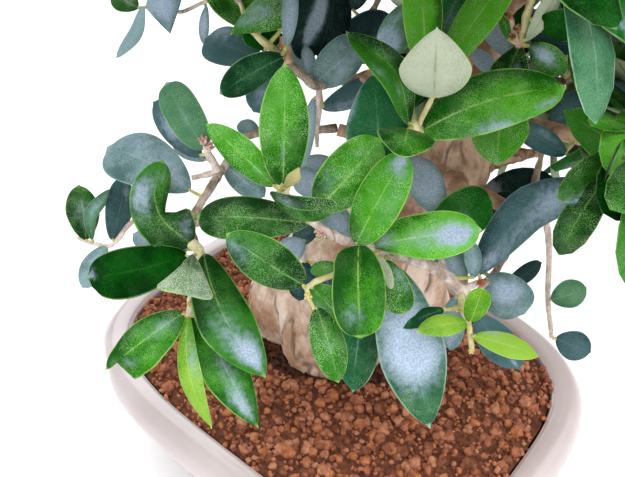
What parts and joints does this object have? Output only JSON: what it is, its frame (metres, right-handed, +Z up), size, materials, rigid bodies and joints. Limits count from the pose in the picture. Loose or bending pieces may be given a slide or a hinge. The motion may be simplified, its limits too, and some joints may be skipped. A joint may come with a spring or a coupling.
{
  "type": "potted bonsai tree",
  "caption": "Small olive bonsai with a thick leaning trunk, spreading boughs and leafy masses, standing in a glazed oval pot.",
  "frame": {"origin": "centre of the pot's flat underside, where it stands", "axes": "+Z up the plant, X along the pot's long side, -Y towards the front long side of the pot"},
  "size_m": [0.2881, 0.2971, 0.3889],
  "materials": {
    "glaze": "glossy pale pinkish glaze",
    "earth": "granular reddish-brown clay soil",
    "bark": "pale beige bark",
    "foliage": "leathery green leaves on thin twigs"
  },
  "bodies": {
    "root": {"pot": "glaze", "soil": "earth", "trunk": "bark", "near_bough": "bark", "left_bough": "bark", "upper_left_bough": "bark", "near_top_bough": "bark", "right_bough": "bark", "back_right_bough": "bark", "far_right_bough": "bark", "right_front_bough": "bark", "high_front_bough": "bark", "high_left_bough": "bark", "high_back_left_bough": "bark", "high_right_bough": "bark", "high_back_bough": "bark", "cut_stub": "bark", "near_foliage": "foliage", "left_foliage": "foliage", "upper_left_foliage": "foliage", "near_top_foliage": "foliage", "right_foliage": "foliage", "back_right_foliage": "foliage", "far_right_foliage": "foliage", "right_front_foliage": "foliage", "high_front_foliage": "foliage", "high_left_foliage": "foliage", "high_back_left_foliage": "foliage", "high_right_foliage": "foliage", "high_back_foliage": "foliage", "top_foliage": "foliage"}
  },
  "joints": []
}
